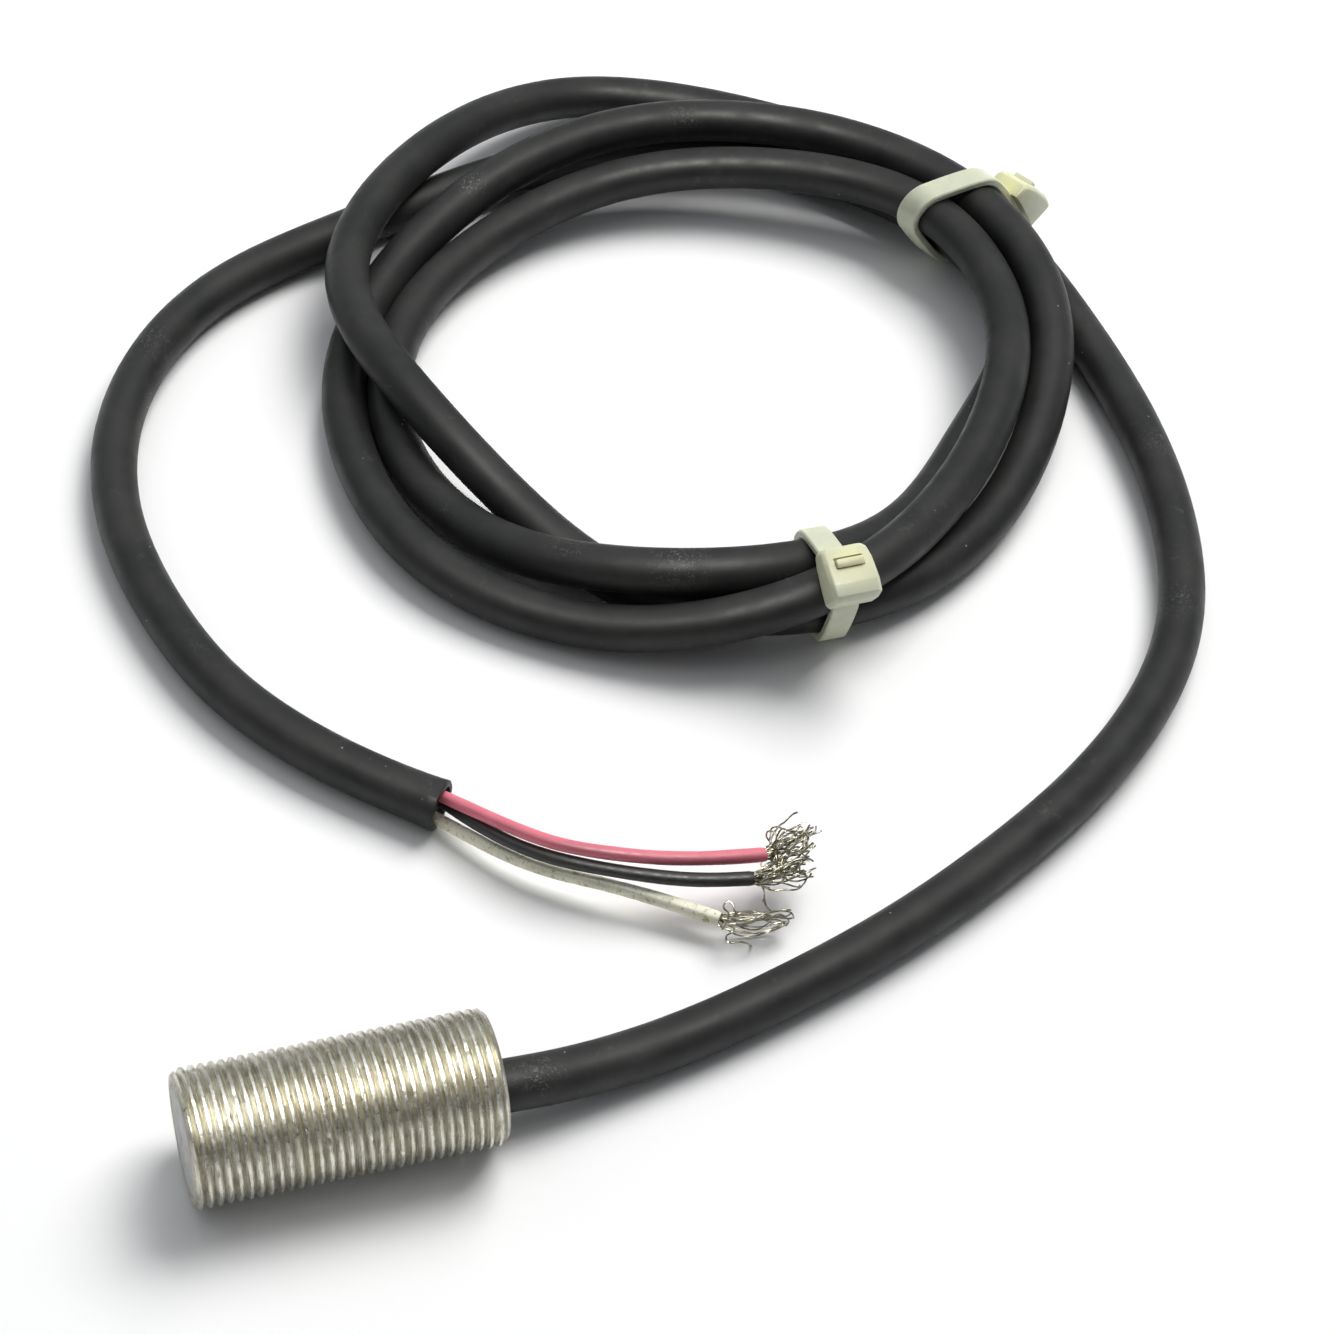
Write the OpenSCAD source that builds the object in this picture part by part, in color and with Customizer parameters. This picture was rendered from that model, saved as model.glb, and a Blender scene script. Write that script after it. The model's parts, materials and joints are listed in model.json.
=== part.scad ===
// Short threaded cylindrical proximity sensor with a coiled connection cable.
// The barrel lies along X on the surface Z = 0. The sensing face looks towards -X and
// the cable leaves towards +X. The origin is on the surface, under the barrel's middle.

/* [Barrel] */
// Outside diameter of the barrel thread
barrel_d = 14; // [13.6:0.1:16]
// Overall length of the barrel
barrel_len = 31.5; // [31:0.5:36]
// Diameter of the bore through the barrel
bore_d = 11.4; // [11.4:0.1:11.8]
// Chamfer at both ends of the barrel
barrel_chamfer = 0.6; // [0.2:0.1:0.8]

/* [Sensing end] */
// Thickness of the cap's closed front
cap_front = 1; // [0.8:0.1:1.2]
// Thickness of the cap's side wall
cap_wall = 0.4; // [0.3:0.05:0.45]
// Length of the cap
cap_len = 7; // [6.5:0.1:7.4]
// Outside diameter of the ferrite pot core
core_d = 9; // [8.4:0.1:9]
// Length of the ferrite pot core
core_len = 4; // [3.6:0.1:4]
// Diameter of the core's centre post
post_d = 3.6; // [3.2:0.1:3.8]

/* [Electronics] */
// Length of the circuit board
board_len = 16; // [15:0.5:16]
// Width of the circuit board
board_w = 8.8; // [8.4:0.1:9]
// Thickness of the circuit board
board_t = 0.8; // [0.6:0.1:1]
// Height of the board's middle above the barrel's axis
board_rise = 0.6; // [0.5:0.05:0.7]

/* [Cable] */
// Outside diameter of the cable jacket
cable_d = 5.5; // [5:0.1:5.6]
// Distance of the cable's axis below the barrel's axis
cable_drop = 2.1; // [1.6:0.1:2.1]
// Length of the rear bush that holds the cable
bush_len = 4; // [3.5:0.1:4.2]
// Outside diameter of a conductor's insulation
conductor_d = 1.25; // [1:0.05:1.3]
// Outside diameter of a frayed strand bundle
strands_d = 3; // [2:0.1:3.4]
// Outside diameter of a conductor past the jacket, where its insulation is bunched up
free_wire_d = 1.5; // [1.3:0.05:1.6]

/* [Coil] */
// Distance of the coil's middle from the origin along X
coil_x = 70; // [70:1:72]
// Distance of the coil's middle from the origin along Y
coil_y = 100; // [99:1:101]
// Inner radius of the coil
coil_inner_r = 31; // [30:0.5:32]
// Outer radius of the coil
coil_outer_r = 52; // [51:0.5:53]
// Height of the coil
coil_h = 12.2; // [12:0.1:13]
// Bevel along the coil's edges
coil_bevel = 3; // [1:0.5:4]

/* [Cable ties] */
// Width of a tie's strap
tie_w = 3.2; // [2.5:0.1:3.6]
// Thickness of a tie's strap
tie_t = 1; // [0.8:0.1:1]
// Length of a tie's head along the strap
head_len = 6.4; // [6:0.1:6.8]
// Width of a tie's head across the strap
head_w = 5.8; // [5.4:0.1:6]
// Height of a tie's head above the strap's inner face
head_h = 4.8; // [4.4:0.1:5]

/* [Hidden] */

round_fn = 96;
small_fn = 48;
gap = 0.05;
far = 60;

// Barrel and its stations along X
axis_z = barrel_d / 2;
face_x = -barrel_len / 2;
rear_x = barrel_len / 2;
bore_r = bore_d / 2;

// Sensing end
cap_inner_r = bore_r - cap_wall;
cap_back_x = face_x + cap_len;
core_x = face_x + cap_front + 0.1;
core_back_x = core_x + core_len;
core_floor = 1;
core_side = 0.9;
groove_r = core_d / 2 - core_side;
bobbin_r = post_d / 2 + 0.1;
bobbin_wall = 0.3;
bobbin_len = core_len - core_floor - 0.2;
shield_len = core_len + 0.6;
lead_y = (bobbin_r + groove_r) / 2;
lead_d = 0.3;

// Electronics
board_x = core_back_x + 1;
board_under_z = axis_z + board_rise - board_t / 2;
board_top_z = board_under_z + board_t;
chip_x = board_x + 4;
transistor_x = board_x + 10;
diode_x = board_x + 13.4;
joint_x = board_x + board_len - 1.4;
wire_pitch = 1.5;
wire_z = board_under_z - conductor_d / 2;
bare_d = 0.7;
bare_len = 1.2;

// Cable
cable_r = cable_d / 2;
cable_z = axis_z - cable_drop;
bush_x = rear_x - 0.3 - bush_len;
jacket_sides = 12;
wire_sides = 8;
tie_floor = tie_t + gap;

// Control points of the cable's route where it isn't coiled, as [x, y, height]
lead_route = [[bush_x, 0, cable_z], [14, 0, cable_z], [17, 0, cable_z],
    [23, 0.4, 3.9], [31, 1.6, 3], [39, 3.2, cable_r], [47, 5.3, cable_r],
    [62, 10, cable_r], [77, 17, cable_r], [91, 25, cable_r], [103.5, 35, cable_r],
    [113, 47.5, cable_r], [118, 63, cable_r], [120, 79, cable_r], [120, 90, cable_r]];
loop_route = [[107, 132, cable_r], [103, 137, cable_r], [94.5, 148, cable_r],
    [83, 156.5, cable_r], [68, 160, 3.5], [53.5, 153.5, 6], [42, 143, 8],
    [35, 135, 9]];
tail_route = [[46, 143, cable_r], [31, 138.5, cable_r], [15.5, 132, cable_r],
    [4.5, 121.5, cable_r], [-3, 107.5, cable_r], [-5.5, 92, cable_r],
    [-3.5, 76.5, cable_r], [1, 61.5, cable_r], [10.5, 48.5, cable_r], [20.5, 39.5, 2.9]];

// Control points of the three conductors past the end of the jacket
red_route = [[20.7, 39.9, 4], [25.5, 33.7, 5.6], [29.7, 28.9, 6.4], [34.4, 26.1, 6.6],
    [40.5, 23.8, 6.2], [46.4, 22.9, 5.6], [52.1, 22.6, 5]];
black_route = [[21.1, 40.4, 2.5], [25.3, 32.7, 4], [29.6, 28.2, 4.8], [34.3, 25.2, 5],
    [39.1, 22.7, 5], [44.2, 21, 4.7], [50, 20.2, 4.4]];
white_route = [[19.9, 39, 1.5], [22.7, 35.5, 2.1], [25.6, 31.7, 2.4], [29.6, 28.1, 2.7],
    [34.3, 24.9, 3], [39.8, 21, 3], [45.3, 17.1, 2.6]];

// Control points of the frayed strands that follow each conductor
red_fray = [[52.1, 22.6, 5], [54.5, 22.9, 5.6], [57, 23.2, 6.2]];
black_fray = [[50, 20.2, 4.4], [52.8, 20, 4.5], [55.8, 19.9, 4.6]];
white_fray = [[45.3, 17.1, 2.6], [48.5, 16.5, 2.6], [52, 16, 2.6]];

// Each tie as [place round the coil, inner and outer radius of the bundle it holds,
// top of the bundle]
top_tie = [26, 38, 51.4, 11.8];
front_tie = [-88.5, 36, 47.8, 12.2];

// A cylinder along the barrel's direction, from x to x + len
module along(x, len, r, y = 0, z = axis_z, fn = round_fn) {
    translate([x, y, z])
        rotate([0, 90, 0])
            cylinder(h = len, r = r, $fn = fn);
}

// A ring along the barrel's direction
module ring_along(x, len, outer, inner) {
    difference() {
        along(x, len, outer);
        along(x - 1, len + 2, inner);
    }
}

// A box by its lowest corner and its size, mirrored to sit centred on y
module block(x, y, z, size) {
    translate([x, y - size[1] / 2, z])
        cube(size);
}

// ---- Swept tubes ----

// Point on a uniform cubic B-spline that starts and ends at its first and last points
function padded(p) = concat([2 * p[0] - p[1]], p,
    [2 * p[len(p) - 1] - p[len(p) - 2]]);
function blend(q, i, t) = (pow(1 - t, 3) * q[i]
    + (3 * pow(t, 3) - 6 * t * t + 4) * q[i + 1]
    + (-3 * pow(t, 3) + 3 * t * t + 3 * t + 1) * q[i + 2]
    + pow(t, 3) * q[i + 3]) / 6;
function smooth(p, per) = let (q = padded(p)) concat(
    [for (i = [0 : len(p) - 2], k = [0 : per - 1]) blend(q, i, k / per)],
    [p[len(p) - 1]]);

// Direction of travel at each point of a path
function unit(v) = v / norm(v);
function heading(path, i) = unit(
    path[min(i + 1, len(path) - 1)] - path[max(i - 1, 0)]);
function side_of(t) = unit([t[1], -t[0], 0]);

// A tube of radius r with flat ends, swept along a path
module tube(path, r, sides) {
    rings = len(path);
    points = [for (i = [0 : rings - 1], k = [0 : sides - 1])
        let (t = heading(path, i), s = side_of(t), u = cross(s, t),
            a = 360 * (k + 0.5) / sides)
        path[i] + r * (cos(a) * s + sin(a) * u)];
    walls = [for (i = [0 : rings - 2], k = [0 : sides - 1])
        let (n = (k + 1) % sides)
        [i * sides + k, i * sides + n, (i + 1) * sides + n, (i + 1) * sides + k]];
    first = [for (k = [sides - 1 : -1 : 0]) k];
    last = [for (k = [0 : sides - 1]) (rings - 1) * sides + k];
    polyhedron(points, concat([first], walls, [last]), convexity = 6);
}

// ---- Sensor ----

module barrel() {
    color("silver")
        difference() {
            translate([face_x, 0, axis_z])
                rotate([0, 90, 0])
                    rotate_extrude($fn = round_fn)
                        polygon([[0, 0], [axis_z - barrel_chamfer, 0],
                            [axis_z, barrel_chamfer],
                            [axis_z, barrel_len - barrel_chamfer],
                            [axis_z - barrel_chamfer, barrel_len],
                            [0, barrel_len]]);
            along(face_x - 1, barrel_len + 2, bore_r);
        }
}

module sensing_cap() {
    color("gainsboro")
        difference() {
            along(face_x, cap_len, bore_r);
            along(face_x + cap_front, cap_len, cap_inner_r);
        }
}

module ferrite_core() {
    color("dimgray")
        difference() {
            along(core_x, core_len, core_d / 2);
            difference() {
                along(core_x - 1, core_len - core_floor + 1, groove_r);
                along(core_x - 2, core_len + 2, post_d / 2);
            }
            for (side = [-1, 1])
                along(core_x, core_len + 1, lead_d, side * lead_y, fn = small_fn);
        }
}

module coil_bobbin() {
    color("ivory")
        difference() {
            along(core_x, bobbin_len, groove_r - 0.1);
            along(core_x - 1, bobbin_len + 2, bobbin_r - 0.05);
            difference() {
                along(core_x + bobbin_wall, bobbin_len - 2 * bobbin_wall, groove_r);
                along(core_x, bobbin_len, bobbin_r + bobbin_wall - 0.1);
            }
        }
}

module coil_winding() {
    color("sienna")
        ring_along(core_x + bobbin_wall, bobbin_len - 2 * bobbin_wall,
            groove_r - 0.3, bobbin_r + bobbin_wall - 0.1);
}

module shield_ring() {
    color("peru")
        ring_along(core_x, shield_len, core_d / 2 + 0.55, core_d / 2 + 0.1);
}

module coil_leads() {
    color("chocolate")
        for (side = [-1, 1])
            along(core_x + bobbin_len, board_x + 1 - core_x - bobbin_len,
                lead_d / 2, side * lead_y, fn = small_fn);
}

module circuit_board() {
    color("seagreen")
        block(board_x, 0, board_under_z, [board_len, board_w, board_t]);
}

module oscillator_chip() {
    color("black") {
        block(chip_x - 2.5, 0, board_top_z + 0.15, [5, 4, 1.4]);
        for (side = [-1, 1], k = [-1.5 : 1.5])
            block(chip_x + k * 1.27 - 0.2, side * 2.4, board_top_z, [0.4, 1, 0.5]);
    }
}

module output_transistor() {
    color("black") {
        block(transistor_x - 1.45, 0, board_top_z + 0.05, [2.9, 1.4, 1]);
        for (leg = [[-0.95, -1], [0.95, -1], [0, 1]])
            block(transistor_x + leg[0] - 0.2, leg[1] * 0.9, board_top_z,
                [0.4, 0.6, 0.3]);
    }
}

module protection_diode() {
    color("firebrick")
        translate([diode_x, 1.75, board_top_z + 0.75])
            rotate([90, 0, 0])
                cylinder(h = 3.5, r = 0.7, $fn = small_fn);
}

module capacitors() {
    color("tan")
        for (at = [[chip_x - 3.4, -2.8], [chip_x - 3.4, 2.8], [transistor_x - 2.6, -2.8]])
            block(at[0] - 0.4, at[1], board_top_z, [0.8, 1.6, 0.8]);
}

module resistors() {
    color("black")
        for (at = [[transistor_x - 2.6, 2.8], [transistor_x + 0.3, 2.9],
                [transistor_x + 0.3, -2.9], [transistor_x - 2.6, 0]])
            block(at[0] - 0.4, at[1], board_top_z, [0.8, 1.6, 0.45]);
}

// Solder between the board's underside and what ends under it, before it is shaped
module solder_drops() {
    for (side = [-1, 1])
        translate([board_x + 0.6, side * lead_y, board_under_z - 0.5])
            cylinder(h = 0.5, r = 0.45, $fn = small_fn);
    for (k = [-1 : 1])
        translate([joint_x - bare_len / 2, k * wire_pitch, board_under_z - 1])
            cylinder(h = 1, r = 0.5, $fn = small_fn);
}

module solder_joints() {
    color("lightgray")
        difference() {
            solder_drops();
            coil_leads();
            for (k = [-1 : 1])
                inner_wire(k);
        }
}

// One conductor inside the sensor, from its solder joint to the end of the jacket
module inner_wire(k) {
    along(joint_x - bare_len, bare_len, bare_d / 2, k * wire_pitch, wire_z, small_fn);
    along(joint_x, bush_x - joint_x, conductor_d / 2, k * wire_pitch, wire_z, small_fn);
}

module inner_wire_red() {
    color("crimson")
        inner_wire(-1);
}

module inner_wire_black() {
    color("black")
        inner_wire(0);
}

module inner_wire_white() {
    color("white")
        inner_wire(1);
}

// Cast resin round everything between the cap and the rear bush
module potting_resin() {
    color("darkslategray")
        difference() {
            union() {
                along(core_back_x, cap_back_x - core_back_x, cap_inner_r);
                along(cap_back_x, bush_x - cap_back_x, bore_r);
            }
            along(core_x, shield_len, core_d / 2 + 0.55);
            circuit_board();
            oscillator_chip();
            output_transistor();
            protection_diode();
            capacitors();
            resistors();
            solder_drops();
            coil_leads();
            for (k = [-1 : 1])
                inner_wire(k);
        }
}

module rear_bush() {
    color("black")
        difference() {
            along(bush_x, bush_len, bore_r);
            along(bush_x - 1, bush_len + 2, cable_r, 0, cable_z);
        }
}

// ---- Cable ----

module cable_lead() {
    color("#2b2b2b")
        tube(smooth(lead_route, 2), cable_r, jacket_sides);
}

module cable_loop() {
    color("#2b2b2b")
        tube(smooth(loop_route, 2), cable_r, jacket_sides);
}

module cable_tail() {
    color("#2b2b2b")
        tube(smooth(tail_route, 2), cable_r, jacket_sides);
}

// Places its children at a tie: X outwards from the coil's middle, Y along the cable
module at_tie(tie) {
    translate([coil_x, coil_y, 0])
        rotate([0, 0, tie[0]])
            children();
}

// The bundle of cable that a tie holds, as a length of plain bar
module bundle(tie, len) {
    translate([tie[1], -len / 2, tie_floor])
        cube([tie[2] - tie[1], len, tie[3] - tie_floor]);
}

// Outer shape of the coiled turns, drawn in to the bundle's size at each tie
module cable_coil() {
    slot = tie_w + 1;
    color("#2b2b2b")
        difference() {
            translate([coil_x, coil_y, 0])
                rotate_extrude($fn = 2 * round_fn)
                    polygon([[coil_inner_r + coil_bevel, 0],
                        [coil_outer_r - coil_bevel, 0],
                        [coil_outer_r, coil_bevel],
                        [coil_outer_r, coil_h - coil_bevel],
                        [coil_outer_r - coil_bevel, coil_h],
                        [coil_inner_r + coil_bevel, coil_h],
                        [coil_inner_r, coil_h - coil_bevel],
                        [coil_inner_r, coil_bevel]]);
            for (tie = [top_tie, front_tie])
                at_tie(tie)
                    difference() {
                        translate([coil_inner_r - 5, -slot / 2, -1])
                            cube([coil_outer_r - coil_inner_r + 10, slot, coil_h + 2]);
                        bundle(tie, slot + 2);
                    }
        }
}

module conductor_red() {
    color("#d8405f")
        tube(smooth(red_route, 3), free_wire_d / 2, wire_sides);
}

module conductor_black() {
    color("#2b2b2b")
        tube(smooth(black_route, 3), free_wire_d / 2, wire_sides);
}

module conductor_white() {
    color("#dcd9c8")
        tube(smooth(white_route, 3), free_wire_d / 2, wire_sides);
}

// Outer shape of a frayed bundle of bare strands
module fray(route) {
    color("#8d8a82")
        tube(smooth(route, 2), strands_d / 2, wire_sides);
}

module strands_red() {
    fray(red_fray);
}

module strands_black() {
    fray(black_fray);
}

module strands_white() {
    fray(white_fray);
}

// ---- Cable ties ----

// A closed cable tie round a bundle: the strap, and the head on its outer upper corner
module cable_tie(tie) {
    low_x = tie[1] - gap;
    high_x = tie[2] + gap;
    high_z = tie[3] + gap;
    color("#e6e6cf")
        at_tie(tie) {
            translate([0, tie_w / 2, 0])
                rotate([90, 0, 0])
                    linear_extrude(tie_w)
                        difference() {
                            translate([low_x - tie_t, 0])
                                square([high_x - low_x + 2 * tie_t, high_z + tie_t]);
                            translate([low_x, tie_t])
                                square([high_x - low_x, high_z - tie_t]);
                        }
            translate([high_x + tie_t - gap, -head_w / 2, high_z - head_len])
                cube([head_h - tie_t, head_w, head_len]);
        }
}

module tie_top() {
    cable_tie(top_tie);
}

module tie_front() {
    cable_tie(front_tie);
}

barrel();
sensing_cap();
ferrite_core();
coil_bobbin();
coil_winding();
shield_ring();
coil_leads();
circuit_board();
oscillator_chip();
output_transistor();
protection_diode();
capacitors();
resistors();
solder_joints();
inner_wire_red();
inner_wire_black();
inner_wire_white();
potting_resin();
rear_bush();
cable_lead();
cable_loop();
cable_coil();
cable_tail();
conductor_red();
conductor_black();
conductor_white();
strands_red();
strands_black();
strands_white();
tie_top();
tie_front();
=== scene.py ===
import json
import math
import random

import bmesh
import bpy
import numpy as np
from mathutils import Matrix, Vector


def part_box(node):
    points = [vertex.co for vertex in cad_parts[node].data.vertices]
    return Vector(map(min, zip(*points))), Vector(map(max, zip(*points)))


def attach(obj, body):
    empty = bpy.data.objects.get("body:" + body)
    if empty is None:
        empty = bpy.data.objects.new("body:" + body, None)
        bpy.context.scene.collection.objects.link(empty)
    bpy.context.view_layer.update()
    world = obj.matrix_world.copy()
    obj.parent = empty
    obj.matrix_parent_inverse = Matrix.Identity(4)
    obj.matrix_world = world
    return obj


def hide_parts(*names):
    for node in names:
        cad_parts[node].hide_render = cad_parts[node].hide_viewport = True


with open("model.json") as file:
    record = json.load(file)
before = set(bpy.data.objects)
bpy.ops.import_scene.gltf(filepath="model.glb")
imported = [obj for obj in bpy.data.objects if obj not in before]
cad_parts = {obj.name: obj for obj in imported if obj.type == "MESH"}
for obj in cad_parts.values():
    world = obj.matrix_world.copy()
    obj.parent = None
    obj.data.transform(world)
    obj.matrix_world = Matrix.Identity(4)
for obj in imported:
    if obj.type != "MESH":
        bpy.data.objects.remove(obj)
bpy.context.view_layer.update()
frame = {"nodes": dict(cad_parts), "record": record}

# Lengths are millimetres in the part's own frame, and become metres where a mesh is made.
MM = 0.001


def box_mm(node):
    """Lowest and highest corner of a CAD node, in millimetres."""
    low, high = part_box(node)
    return np.array(low) / MM, np.array(high) / MM


def placed(name, data):
    """A new object in the scene."""
    made = bpy.data.objects.new(name, data)
    bpy.context.scene.collection.objects.link(made)
    return made


# ---- Camera ----

# Found from the barrel's outline and from how the cable's width shrinks with distance
CAMERA_AT = (-42.74, -190.84, 273.55)
CAMERA_TURN = -20.91     # about Z, away from looking along +Y
CAMERA_DOWN = 45.95      # below the horizon
CAMERA_ROLL = 5.27
CAMERA_LENS = 89.19
SENSOR_WIDTH = 36


def make_camera():
    data = bpy.data.cameras.new("camera")
    data.sensor_width = SENSOR_WIDTH
    data.lens = CAMERA_LENS
    data.clip_start = 0.01
    data.clip_end = 20
    camera = placed("camera", data)
    camera.matrix_world = (
        Matrix.Translation(Vector(CAMERA_AT) * MM)
        @ Matrix.Rotation(math.radians(CAMERA_TURN), 4, "Z")
        @ Matrix.Rotation(math.radians(90 - CAMERA_DOWN), 4, "X")
        @ Matrix.Rotation(math.radians(CAMERA_ROLL), 4, "Z")
    )
    bpy.context.scene.camera = camera


make_camera()


# ---- Cable route ----

CABLE_D = 5.5
CABLE_R = CABLE_D / 2
COIL_CENTRE = np.array([70.0, 100.0])
TOP_TIE = 26             # where each tie goes round the coil, in degrees
FRONT_TIE = -88.5

# Control points where the cable isn't coiled; without a height they lie on the surface.
LEAD_ROUTE = [
    (11.45, 0, 4.9), (14, 0, 4.9), (17, 0, 4.9), (23, 0.4, 3.9), (31, 1.6, 3), (39, 3.2),
    (47, 5.3), (62, 10), (77, 17), (91, 25), (103.5, 35), (113, 47.5), (118, 63), (120, 79),
]
TAIL_ROUTE = [
    (31, 138), (15.5, 132), (4.5, 121.5), (-3, 107.5), (-5.5, 92), (-3.5, 76.5),
    (1, 61.5), (10.5, 48.5), (20.5, 39.5, 2.9),
]

# Each turn of the coil as control points a twelfth of a turn apart: radius, then height.
TURNS = [
    ((49.5, 51, 55, 64.5, 52.5, 50, 39.5, 35, 41, 45, 42.5, 42),
     (2, 5.5, 2, 1, 7.5, 6.5, 10.25, 4.25, 2, 4.75, 2.25, 3)),
    ((47, 49.5, 49, 45.5, 43.5, 45.5, 46.5, 50.5, 47.5, 47, 38, 37.5),
     (6.25, 5.5, 5.25, 8.5, 6.5, 1, 2.25, 2.5, 1.5, 10.75, 6.75, 8.25)),
    ((41.5, 45.5, 40.5, 39, 38.5, 41, 42.5, 42, 43, 42.5, 35.5, 34),
     (6.5, 6.75, 6.5, 6, 4, 3, 2.25, 1.5, 8, 8.75, 1, 2.5)),
    ((45.5, 47, 48.5, 50, 49.5),
     (2.5, 2.5, 2.5, 2.5, 2.75)),
]
STATION = 30             # degrees between control points in the coil

# How the turns settle
SETTLE_ROUNDS = 240
LAST_ROUNDS = 12         # rounds at the end that no longer ease the bends
TURN_GAP = 0.05          # left between two turns
TIE_LIFT = 1.2           # how high a tie's strap holds the turns above the surface
TIE_REACH = 5            # how far along the cable a tie acts
COIL_RADII = (32, 51)    # the coil's turns pass the ties between these radii
STIFFNESS = 30
ROUTE_STEP = 2
FAR = 1e3


def on_surface(route):
    return [point if len(point) == 3 else (*point, CABLE_R) for point in route]


def cable_control_points():
    points = on_surface(LEAD_ROUTE)
    angle = 0
    for radii, heights in TURNS:
        for radius, height in zip(radii, heights):
            a = math.radians(angle)
            points.append((COIL_CENTRE[0] + radius * math.cos(a),
                           COIL_CENTRE[1] + radius * math.sin(a), height))
            angle += STATION
    return np.array(points + on_surface(TAIL_ROUTE), float)


def smooth_path(points, per=12):
    """Uniform cubic B-spline from the first to the last control point."""
    points = np.array(points, float)
    padded = np.vstack([2 * points[0] - points[1], points, 2 * points[-1] - points[-2]])
    out = []
    for i in range(len(padded) - 3):
        for k in range(per):
            t = k / per
            weights = np.array([(1 - t) ** 3, 3 * t ** 3 - 6 * t ** 2 + 4,
                                -3 * t ** 3 + 3 * t ** 2 + 3 * t + 1, t ** 3]) / 6
            out.append(weights @ padded[i:i + 4])
    out.append(points[-1])
    return np.array(out)


def along(path):
    """Distance from the start at each point of a path."""
    return np.concatenate([[0], np.cumsum(np.linalg.norm(np.diff(path, axis=0), axis=1))])


def evenly(path, step):
    """The same path with points an even step apart."""
    s = along(path)
    at = np.linspace(0, s[-1], int(round(s[-1] / step)) + 1)
    return np.stack([np.interp(at, s, path[:, k]) for k in range(3)], axis=1)


def tie_distance(path, tie):
    """Distance along the cable of each point from a tie; far away where it isn't in the coil."""
    x, y = (path[:, :2] - COIL_CENTRE).T
    radius = np.hypot(x, y)
    turn = (np.degrees(np.arctan2(y, x)) - tie + 180) % 360 - 180
    distance = np.radians(turn) * radius
    return np.where((radius > COIL_RADII[0]) & (radius < COIL_RADII[1]), distance, FAR)


def settle(path):
    """Moves touching turns a cable's diameter apart and onto the surface, and keeps the bends smooth."""
    n = len(path)
    step = np.linalg.norm(path[1] - path[0])
    low = np.full(n, CABLE_R)
    for tie in (TOP_TIE, FRONT_TIE):
        low += TIE_LIFT * np.exp(-(tie_distance(path, tie) / TIE_REACH) ** 2)
    bend = np.zeros((n - 2, n))
    for i in range(n - 2):
        bend[i, i:i + 3] = (1, -2, 1)
    ease = np.linalg.inv(np.eye(n) + STIFFNESS * bend.T @ bend)
    index = np.arange(n)
    other = abs(index[:, None] - index) > 3 * CABLE_D / step
    held = np.r_[0:4, n - 3:n]      # the points at the barrel and at the cut end
    move = np.zeros_like(path)
    for k in range(SETTLE_ROUNDS):
        now = path + move
        apart = now[:, None] - now
        distance = np.linalg.norm(apart, axis=2) + 1e-9
        deep = np.where(other, np.maximum(CABLE_D + TURN_GAP - distance, 0), 0)
        share = deep.max(axis=1) / (deep.sum(axis=1) + 1e-9)
        push = (apart * (deep / distance)[..., None]).sum(axis=1)
        move += push * share[:, None] / 2
        if k < SETTLE_ROUNDS - LAST_ROUNDS:
            move = ease @ move
        move[:, 2] = np.maximum(path[:, 2] + move[:, 2], low) - path[:, 2]
        move[held] = 0
    return path + move


cable_path = settle(evenly(smooth_path(cable_control_points()), ROUTE_STEP))


# ---- Mesh helpers ----

def make_piece(name, verts, faces, slot, nodes=(), sharp=35):
    """A mesh piece, from millimetres, that stands for CAD nodes. Edges over sharp degrees stay sharp."""
    mesh = bpy.data.meshes.new(name)
    mesh.from_pydata((np.asarray(verts) * MM).tolist(), [], [tuple(f) for f in faces])
    mesh.validate()
    mesh.shade_smooth()
    mesh.set_sharp_from_angle(angle=math.radians(sharp))
    mesh.materials.append(LOOKS[slot])
    piece = placed(name, mesh)
    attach(piece, "root")
    if nodes:
        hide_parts(*nodes)
    return piece


def unit(v):
    return v / (np.linalg.norm(v, axis=-1, keepdims=True) + 1e-12)


def path_frames(path):
    """Tangent and two normals along a path, without twist."""
    tangent = unit(np.gradient(path, axis=0))
    normal = np.zeros_like(path)
    n = np.cross(tangent[0], (0, 0, 1))
    for i, t in enumerate(tangent):
        n = unit(n - t * (n @ t))
        normal[i] = n
    return tangent, normal, np.cross(tangent, normal)


def grid_faces(rows, columns):
    """Quads between rings of points, each ring closed."""
    faces = []
    for i in range(rows - 1):
        a = i * columns
        for k in range(columns):
            n = (k + 1) % columns
            faces.append((a + k, a + n, a + columns + n, a + columns + k))
    return faces


def closing_faces(rows, columns):
    """Quads from the last ring back to the first one."""
    last = (rows - 1) * columns
    return [(last + k, last + (k + 1) % columns, (k + 1) % columns, k) for k in range(columns)]


def tube_mesh(path, radii, sides):
    """Points and faces of a closed tube with one radius per point of the path."""
    _, n, b = path_frames(path)
    a = np.arange(sides) * 2 * math.pi / sides
    ring = np.cos(a)[None, :, None] * n[:, None] + np.sin(a)[None, :, None] * b[:, None]
    radii = np.broadcast_to(np.asarray(radii, float), (len(path),))
    verts = (path[:, None] + radii[:, None, None] * ring).reshape(-1, 3)
    faces = grid_faces(len(path), sides)
    faces.append(tuple(range(sides))[::-1])
    last = (len(path) - 1) * sides
    faces.append(tuple(range(last, last + sides)))
    return verts, faces


def points_and_faces(mesh):
    """Points and faces of a bmesh, turned outward. The bmesh is freed."""
    bmesh.ops.recalc_face_normals(mesh, faces=mesh.faces[:])
    mesh.verts.index_update()
    verts = [tuple(v.co) for v in mesh.verts]
    faces = [tuple(v.index for v in f.verts) for f in mesh.faces]
    mesh.free()
    return verts, faces


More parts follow.
